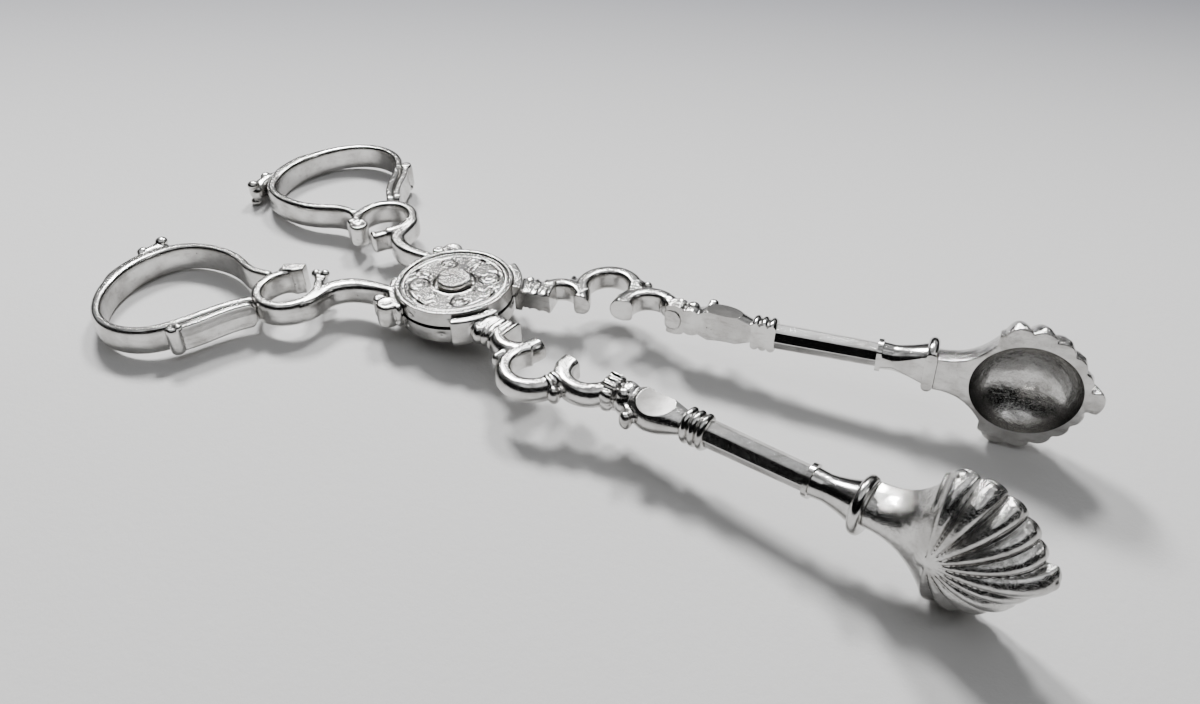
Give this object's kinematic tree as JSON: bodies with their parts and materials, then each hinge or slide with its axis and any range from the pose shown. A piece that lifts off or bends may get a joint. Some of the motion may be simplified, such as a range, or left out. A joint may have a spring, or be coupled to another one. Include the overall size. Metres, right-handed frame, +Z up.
{
  "type": "ice tongs",
  "caption": "Scissor-action silver ice tongs with finger rings, an engraved round hinge, scrolled arms and shell-shaped bowls.",
  "frame": {"origin": "the middle of the space the tongs take up, on the surface they lie on", "axes": "+X along the tongs from the finger rings towards the shell bowls, +Z up from the surface, +Y to the left when looking from the rings to the bowls"},
  "size_m": [0.1174, 0.0544, 0.0166],
  "materials": {
    "cast_silver": "polished cast silver with darkened recesses",
    "engraved_silver": "engraved silver with a hatched ground",
    "bowl_silver": "polished silver, scratched inside the bowl",
    "pin_silver": "worn, darkened silver"
  },
  "bodies": {
    "lower_arm": {"hinge_pin": "pin_silver", "lower_baluster": "cast_silver", "lower_collar": "cast_silver", "lower_end_leaf": "cast_silver", "lower_ferrule": "cast_silver", "lower_finger_ring": "cast_silver", "lower_handle_scroll": "cast_silver", "lower_handle_stem": "cast_silver", "lower_hinge_disc": "engraved_silver", "lower_jaw_scrolls": "cast_silver", "lower_jaw_shoulder": "cast_silver", "lower_ring_leaf": "cast_silver", "lower_rod": "cast_silver", "lower_shell_bowl": "bowl_silver", "lower_socket": "cast_silver", "pin_boss": "engraved_silver", "spacing_washer": "pin_silver"},
    "upper_arm": {"upper_baluster": "cast_silver", "upper_collar": "cast_silver", "upper_end_leaf": "cast_silver", "upper_ferrule": "cast_silver", "upper_finger_ring": "cast_silver", "upper_handle_scroll": "cast_silver", "upper_handle_stem": "cast_silver", "upper_hinge_disc": "engraved_silver", "upper_jaw_scrolls": "cast_silver", "upper_jaw_shoulder": "cast_silver", "upper_ring_leaf": "cast_silver", "upper_rod": "cast_silver", "upper_shell_bowl": "bowl_silver", "upper_socket": "cast_silver"}
  },
  "joints": [
    {"name": "hinge", "type": "hinge", "parent": "lower_arm", "child": "upper_arm", "pos_m": [-0.01528, 0, 0.00434], "axis": [-0.0601, 0, 0.9982], "range_deg": [-20, 40]}
  ]
}
